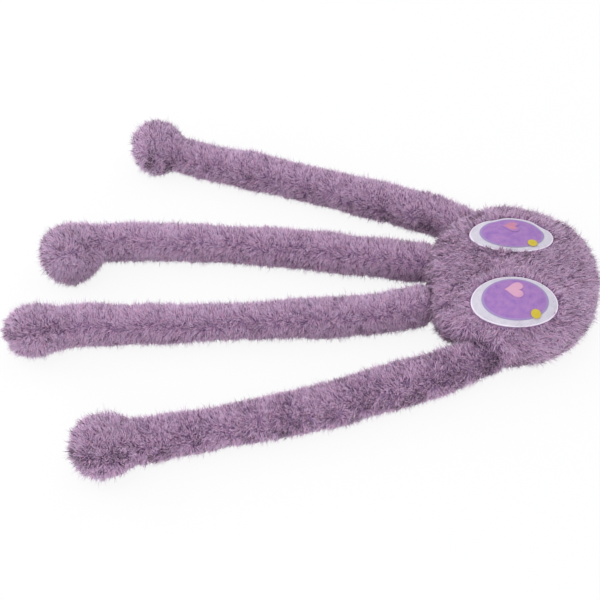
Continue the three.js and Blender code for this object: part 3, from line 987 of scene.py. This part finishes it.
def add_stretch_skin(arm, stretch, skin, first, last):
    """The skin of one stretch of an arm, from ring first to ring last."""
    quads, uv = grid_faces(last - first + 1, ARM_AROUND)
    uv = (uv + (0, first)) * (ARM_LOOP_STEP, RING_STEP)
    points = skin.grid[first : last + 1].reshape(-1, 3)
    quads, uv = quads[:, ::-1], uv[:, ::-1]
    cloth = make_mesh(f"{arm}_{stretch}_skin", points, [quads], "backing", "knit_uv", [uv])
    cover = "cover" if stretch == "paw" else "sleeve"
    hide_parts(f"{arm}_{stretch}_{cover}", f"{arm}_{stretch}_filling")
    return cloth


def add_arm(arm):
    skin = ArmSkin(arm)
    marks, steps = skin.marks, skin.steps
    below = np.clip(-np.cos(skin.turn), 0, 1)
    density = skin.spread(strand_density(below, *ARM_THINNING))
    ahead = np.repeat(skin.ahead[:, None], ARM_AROUND, axis=1)
    fields = [skin.normals, ahead]
    fields += [skin.spread(f) for f in (np.cos(skin.turn), np.sin(skin.turn), skin.swell, steps / steps[-1])]
    cuts = [0, (marks[1] + marks[2]) / 2, (marks[2] + marks[3]) / 2, (marks[3] + marks[4]) / 2, marks[-1]]
    rings = [int(np.abs(steps - c).argmin()) for c in cuts]
    for k, stretch in enumerate(("root", "upper", "lower", "paw")):
        first, last = rings[k], rings[k + 1]
        cloth = add_stretch_skin(arm, stretch, skin, first, last)
        grown = scatter(skin.grid, fields, density, first, last)
        seen = ~in_head(grown[0], BURIED)
        places, outward, way, top, side, swell, far_along = (g[seen] for g in grown)
        outward = unit(outward)
        comb, lean, parted = arm_comb(skin, places, outward, way, top, side, swell)
        shade = arm_shade(arm, places, top, swell, parted, far_along)
        length = ARM_PILE * (1 - PARTING_LENGTH * parted + PAW_LENGTH * swell)
        pile = grow_pile(f"{arm}_{stretch}_pile", places, outward, comb, lean, length, shade)
        zone = SWING_ZONE if k == 0 else BEND_ZONE
        reach = skin.ahead[int(np.abs(steps - marks[k + 1]).argmin())] * zone
        for piece in (cloth, pile):
            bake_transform(piece)


def oval_rim(turn):
    """An oval's outline."""
    return np.cos(turn), np.sin(turn)


def heart_rim(turn):
    """A heart's outline, its point towards the arms."""
    waves = [share * np.cos((k + 1) * turn) for k, share in enumerate(HEART_SHARES)]
    x = waves[0] - waves[1] - waves[2] - waves[3] + HEART_MIDDLE
    return x - (x.max() + x.min()) / 2, np.sin(turn) ** 3


def add_patch(node_name, rim, material, dips=(), pressed=PRINT_PRESSED, spread=(1, 1)):
    """A thin cloth piece that lies on the face where its solid does, its edge pressed down by a share."""
    low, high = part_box(node_name)
    middle = np.array([(low[0] + high[0]) / 2, (low[1] + high[1]) / 2])
    half = np.array([(high[0] - low[0]) / 2, (high[1] - low[1]) / 2])
    solid = np.array([v.co for v in frame["nodes"][node_name].data.vertices])
    lift = solid[:, 2] - face_height(solid[:, 0], solid[:, 1])
    bottom, top = lift.min(), lift.max()
    turn = np.arange(PATCH_AROUND) / PATCH_AROUND * 2 * math.pi
    outline = np.stack(rim(turn), -1)
    outline = outline / np.abs(outline).max(0) * half * spread
    for place, width, depth in dips:
        outline[:, 1] -= depth * bump_at(outline[:, 0], place, width) * eased(2 * np.sin(turn))
    # A thin print rounds off a third of its thickness.
    rounding = min(EDGE_ROUNDING, (top - bottom) / 3)
    shoulder = EDGE_SHOULDER * rounding
    inner = np.linspace(PATCH_MIDDLE, 1 - EDGE_START * rounding / half[1], PATCH_RINGS)
    drop = pressed * (top - bottom - rounding) * eased((inner - PRESSED_START) / PRESSED_WIDTH)
    edge = top - drop[-1]
    rows = list(zip(inner, top - drop))
    rows += [(1 - shoulder / half[1], edge - shoulder), (1.0, edge - rounding), (1.0, bottom)]
    rows += [(share, bottom) for share in UNDERSIDE_SHARES]
    grid = []
    for share, height in rows:
        x, y = (middle + outline * share).T
        grid.append(np.stack([x, y, face_height(x, y) + height], -1))
    quads, places = grid_faces(len(rows), PATCH_AROUND)
    shares = np.array([share for share, _ in rows])
    uv = np.stack([places[..., 0] / PATCH_AROUND, shares[places[..., 1].astype(int)]], -1)
    points = np.array(grid).reshape(-1, 3)
    piece = make_mesh(f"{node_name}_cloth", points, [quads], material, "patch_uv", [uv])
    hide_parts(node_name)
    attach(piece, "head")


def add_eyes():
    for side, dips, heart in (("right", RIM_DIPS, "worn_heart"), ("left", (), "heart")):
        add_patch(f"{side}_eye_white_patch", oval_rim, "white", dips, 0.0)
        iris_dips = [(place, width, depth * IRIS_DIP) for place, width, depth in dips]
        add_patch(f"{side}_eye_iris", oval_rim, "iris", iris_dips)
        add_patch(f"{side}_eye_heart", heart_rim, heart, spread=HEART_SPREAD)
        add_patch(f"{side}_eye_glint", oval_rim, "glint")


def add_camera():
    high, aside = math.radians(VIEW_ELEVATION), math.radians(VIEW_AZIMUTH)
    right = Vector((math.cos(aside), math.sin(aside), 0))
    back = Vector((math.sin(aside) * math.cos(high), -math.cos(aside) * math.cos(high), math.sin(high)))
    up = back.cross(right)
    data = bpy.data.cameras.new("photo_camera")
    data.sensor_width = SENSOR
    data.lens = LENS
    data.clip_end = 20
    camera = bpy.data.objects.new("photo_camera", data)
    bpy.context.scene.collection.objects.link(camera)
    turned = Matrix((right, up, back)).transposed().to_4x4()
    camera.matrix_world = Matrix.Translation(Vector(VIEW_AIM) + back * VIEW_DISTANCE) @ turned
    bpy.context.scene.camera = camera


def add_softbox(name, place, size, power):
    """A square softbox that faces the middle of the toy."""
    data = bpy.data.lights.new(name, "AREA")
    data.energy = power
    data.size = size
    lamp = bpy.data.objects.new(name, data)
    lamp.location = place
    lamp.rotation_euler = (Vector(VIEW_AIM) - Vector(place)).to_track_quat("-Z", "Y").to_euler()
    bpy.context.scene.collection.objects.link(lamp)


def background_rays(tree):
    """1 for the rays that show the background: the camera's, and those that gloss or glass sends on."""
    ray = add_node(tree, "ShaderNodeLightPath")
    seen = add_node(tree, "ShaderNodeMath", {
        0: ray.outputs["Is Camera Ray"], 1: ray.outputs["Is Glossy Ray"]}, operation="MAXIMUM")
    sent = add_node(tree, "ShaderNodeMath", {
        0: seen.outputs[0], 1: ray.outputs["Is Transmission Ray"]}, operation="MAXIMUM")
    return sent.outputs[0]


def add_studio():
    """A white sweep under even light. The camera sees the world and most of the floor as white."""
    scene = bpy.context.scene
    scene.view_settings.view_transform = "Standard"
    world = bpy.data.worlds.new("studio")
    scene.world = world
    world.use_nodes = True
    tree = world.node_tree
    lit = tree.nodes["Background"]
    lit.inputs["Color"].default_value = linear("#f6f6fa")
    lit.inputs["Strength"].default_value = WORLD_STRENGTH
    seen = add_node(tree, "ShaderNodeBackground", {"Color": (1, 1, 1, 1), "Strength": 1.0})
    mix = add_node(tree, "ShaderNodeMixShader", {
        0: background_rays(tree), 1: lit.outputs[0], 2: seen.outputs[0]})
    tree.links.new(mix.outputs[0], tree.nodes["World Output"].inputs["Surface"])
    for name, (place, size, power) in SOFTBOXES.items():
        add_softbox(name, place, size, power)
    material, tree, shader = start_material("white_sweep", 0.9)
    shader.inputs["Base Color"].default_value = linear("#f2f2f2")
    glow = add_node(tree, "ShaderNodeEmission", {"Strength": 1.0})
    share = add_node(tree, "ShaderNodeMath", {0: background_rays(tree), 1: FLOOR_GLOW}, operation="MULTIPLY")
    mix = add_node(tree, "ShaderNodeMixShader", {
        0: share.outputs[0], 1: shader.outputs[0], 2: glow.outputs[0]})
    tree.links.new(mix.outputs[0], tree.nodes["Material Output"].inputs["Surface"])
    mesh = bpy.data.meshes.new("floor")
    corners = [(x * FLOOR_SPAN, y * FLOOR_SPAN, 0) for x, y in ((-1, -1), (1, -1), (1, 1), (-1, 1))]
    mesh.from_pydata(corners, [], [(0, 1, 2, 3)])
    mesh.materials.append(material)
    floor = bpy.data.objects.new("floor", mesh)
    bpy.context.scene.collection.objects.link(floor)


add_camera()
add_studio()
add_head()
add_eyes()
for arm in ARMS:
    add_arm(arm)
